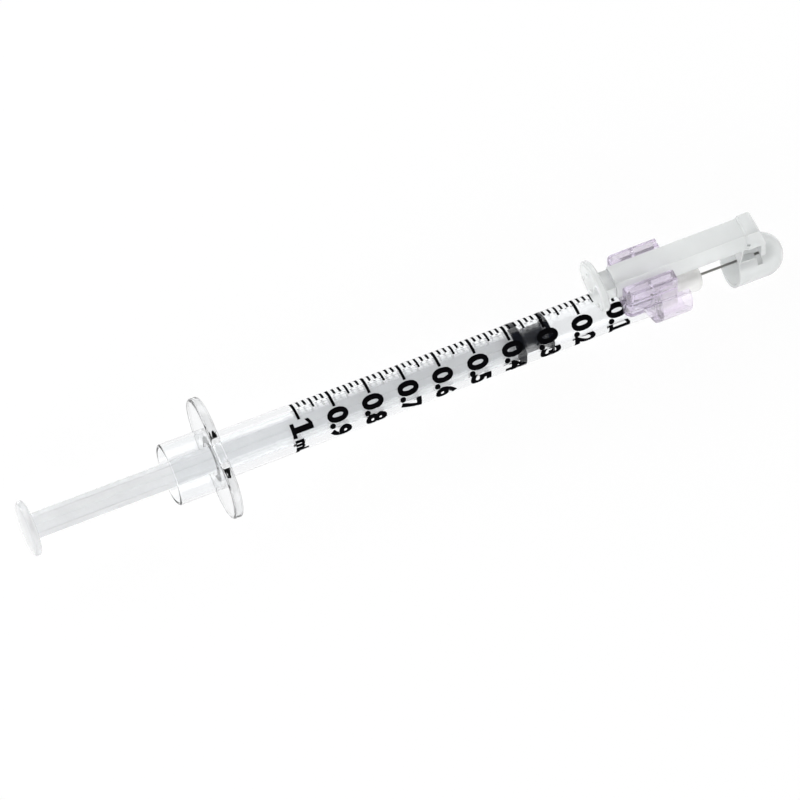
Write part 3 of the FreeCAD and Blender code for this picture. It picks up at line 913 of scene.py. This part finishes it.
class SyringeStage(bpy.types.Operator):
    """White floor, soft studio light and the camera"""

    bl_idname = "syringe.stage"
    bl_label = "Stage"

    def execute(self, context):
        scene = context.scene
        self.floor(scene)
        self.world(scene)
        self.softbox(scene, "softbox_back", (-0.35, 0.3, 0.45), (0.4, 0.4), 1.0)
        self.softbox(scene, "softbox_front", (-0.2, -0.45, 0.5), (0.4, 0.4), 0.5)
        self.camera(scene)
        scene.view_settings.view_transform = "Standard"
        return {"FINISHED"}

    def floor(self, scene):
        """Square of white paper under the syringe."""
        bpy.ops.object.select_all(action="DESELECT")
        bpy.ops.mesh.primitive_grid_add(size=6, location=(0.03, 0, CAD_BOUNDS[0].z))
        floor = bpy.context.object
        floor.name = "floor"
        floor.data.materials.append(studio_paper(scene.syringe_colours))

    def world(self, scene):
        """A soft band of light all round under a dark ceiling, and white to the camera."""
        world = bpy.data.worlds.new("Studio")
        scene.world = world
        world.use_nodes = True
        tree = world.node_tree
        tree.nodes.clear()
        place = add_node(tree, "ShaderNodeTexCoord")
        axes = add_node(tree, "ShaderNodeSeparateXYZ", Vector=place.outputs["Generated"])
        ramp = add_node(tree, "ShaderNodeValToRGB", Fac=axes.outputs["Z"])
        for element, position, grey in zip(ramp.color_ramp.elements, (0.0, 0.66), (0.35, 0.06)):
            element.position = position
            element.color = (grey, grey, grey, 1)
        for position in (0.12, 0.5):
            ramp.color_ramp.elements.new(position).color = (1, 1, 1, 1)
        light = add_node(tree, "ShaderNodeBackground", {"Strength": 2.4},
                         Color=ramp.outputs["Color"])
        white = add_node(tree, "ShaderNodeBackground", {"Color": (1, 1, 1, 1), "Strength": 1.0})
        path = add_node(tree, "ShaderNodeLightPath")
        mix = add_node(tree, "ShaderNodeMixShader", Fac=path.outputs["Is Camera Ray"])
        tree.links.new(light.outputs["Background"], mix.inputs[1])
        tree.links.new(white.outputs["Background"], mix.inputs[2])
        add_node(tree, "ShaderNodeOutputWorld", Surface=mix.outputs["Shader"])

    def softbox(self, scene, name, place, size, watts):
        """Rectangular lamp that faces the syringe."""
        lamp_data = bpy.data.lights.new(name, "AREA")
        lamp_data.shape = "RECTANGLE"
        lamp_data.size, lamp_data.size_y = size
        lamp_data.energy = watts
        lamp = bpy.data.objects.new(name, lamp_data)
        scene.collection.objects.link(lamp)
        lamp.location = place
        lamp.rotation_mode = "QUATERNION"
        middle = Vector((0.03, 0, 0))
        lamp.rotation_quaternion = (middle - lamp.location).to_track_quat("-Z", "Y")

    def camera(self, scene):
        """Long lens that looks down on the syringe, turned so that it runs up to the right."""
        heading, tilt, roll = (math.radians(a) for a in (36.35, 75.04, 32.00))
        aim, distance = Vector((28.505, -1.710, 0.063)), 968.99
        level = math.cos(tilt)
        look = Vector((level * math.cos(heading), level * math.sin(heading), -math.sin(tilt)))
        data = bpy.data.cameras.new("camera")
        data.lens = 292.5
        data.sensor_width = 36
        data.clip_start, data.clip_end = 0.05, 20
        camera = bpy.data.objects.new("camera", data)
        scene.collection.objects.link(camera)
        camera.location = aim * MM - look * distance * MM
        camera.rotation_mode = "QUATERNION"
        rolled = Matrix.Rotation(roll, 3, "Z").to_quaternion()
        camera.rotation_quaternion = look.to_track_quat("-Z", "Y") @ rolled
        scene.camera = camera


class SyringePanel(bpy.types.Panel):
    """Sidebar panel with the syringe's pieces and settings"""

    bl_idname = "VIEW3D_PT_syringe"
    bl_label = "Safety Syringe"
    bl_space_type = "VIEW_3D"
    bl_region_type = "UI"
    bl_category = "Syringe"

    def draw(self, context):
        for operator in PIECES:
            self.layout.operator(operator.bl_idname)
        for group in ("syringe_colours", "syringe_shape", "syringe_print"):
            settings = getattr(context.scene, group)
            for name in settings.bl_rna.properties.keys():
                if name not in ("rna_type", "name"):
                    self.layout.prop(settings, name)


PIECES = (
    SyringeBarrel,
    SyringePlunger,
    SyringeStopper,
    SyringeNeedle,
    SyringeCollar,
    SyringeShield,
    SyringeScale,
    SyringeStage,
)
CLASSES = (SyringeColours, SyringePrint, SyringeShape) + PIECES + (SyringePanel,)


def register():
    """Register the classes and the scene's settings."""
    for cls in CLASSES:
        bpy.utils.register_class(cls)
    bpy.types.Scene.syringe_colours = bpy.props.PointerProperty(type=SyringeColours)
    bpy.types.Scene.syringe_print = bpy.props.PointerProperty(type=SyringePrint)
    bpy.types.Scene.syringe_shape = bpy.props.PointerProperty(type=SyringeShape)


def unregister():
    """Take the settings and the classes away again."""
    del bpy.types.Scene.syringe_shape
    del bpy.types.Scene.syringe_print
    del bpy.types.Scene.syringe_colours
    for cls in reversed(CLASSES):
        bpy.utils.unregister_class(cls)


def main():
    """Build the syringe piece by piece."""
    register()
    bpy.ops.syringe.barrel()
    bpy.ops.syringe.plunger()
    bpy.ops.syringe.stopper()
    bpy.ops.syringe.needle()
    bpy.ops.syringe.collar()
    bpy.ops.syringe.shield()
    bpy.ops.syringe.scale()
    bpy.ops.syringe.stage()


if __name__ == "__main__":
    main()
